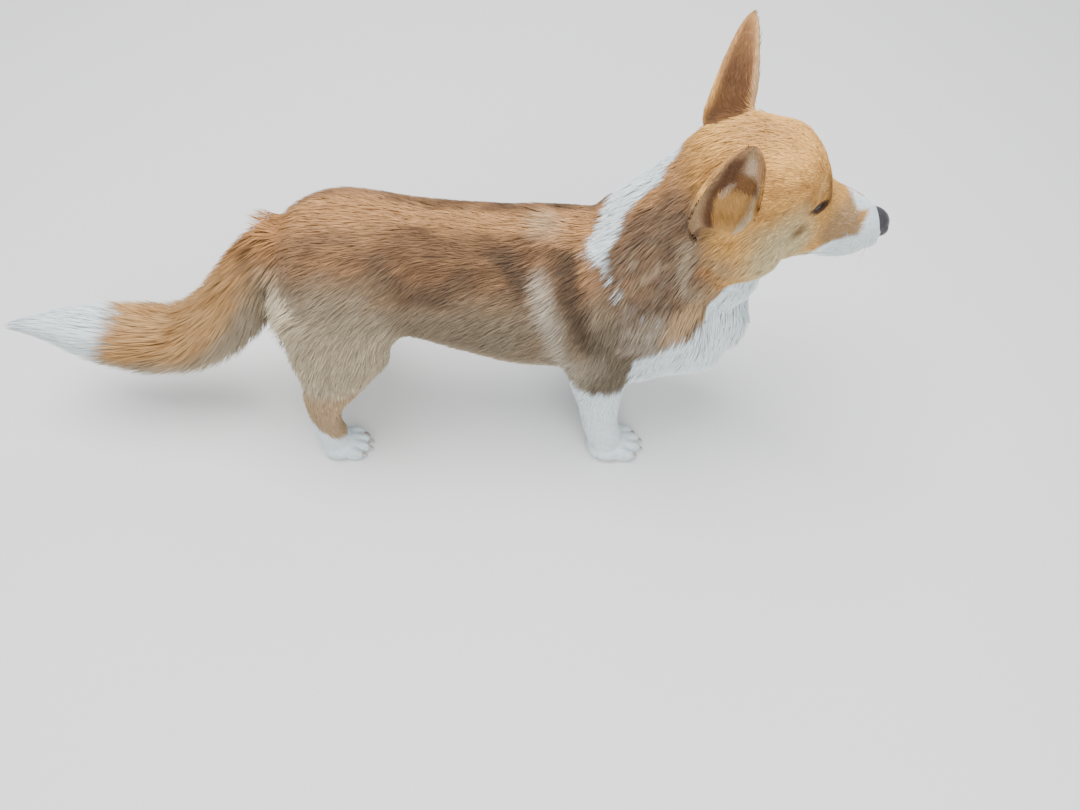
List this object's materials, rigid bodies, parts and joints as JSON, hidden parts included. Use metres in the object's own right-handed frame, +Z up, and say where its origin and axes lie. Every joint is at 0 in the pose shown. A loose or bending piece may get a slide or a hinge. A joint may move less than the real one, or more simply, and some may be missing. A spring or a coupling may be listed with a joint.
{
  "type": "pembroke welsh corgi model",
  "caption": "Life-size still model of a young Pembroke Welsh corgi, standing with ears up and a full tail hanging, in red fawn and white.",
  "frame": {"origin": "on the floor, below the middle of the box around the whole dog", "axes": "+X towards the nose, +Y to the dog's left, +Z up"},
  "size_m": [0.9032, 0.197, 0.4459],
  "materials": {
    "coat_tan": "medium-length red fawn fur",
    "coat_white": "medium-length white fur",
    "nose_black": "black, pebbled and slightly damp",
    "eye_brown": "dark brown, wet and glossy"
  },
  "bodies": {
    "root": {"torso": "coat_tan", "neck": "coat_tan", "head": "coat_tan", "ear_left": "coat_tan", "ear_right": "coat_tan", "nose": "nose_black", "eye_left": "eye_brown", "eye_right": "eye_brown", "tail": "coat_tan", "foreleg_left": "coat_white", "foreleg_right": "coat_white", "forepaw_left": "coat_white", "forepaw_right": "coat_white", "hindleg_left": "coat_tan", "hindleg_right": "coat_tan", "hindpaw_left": "coat_white", "hindpaw_right": "coat_white"}
  },
  "joints": []
}
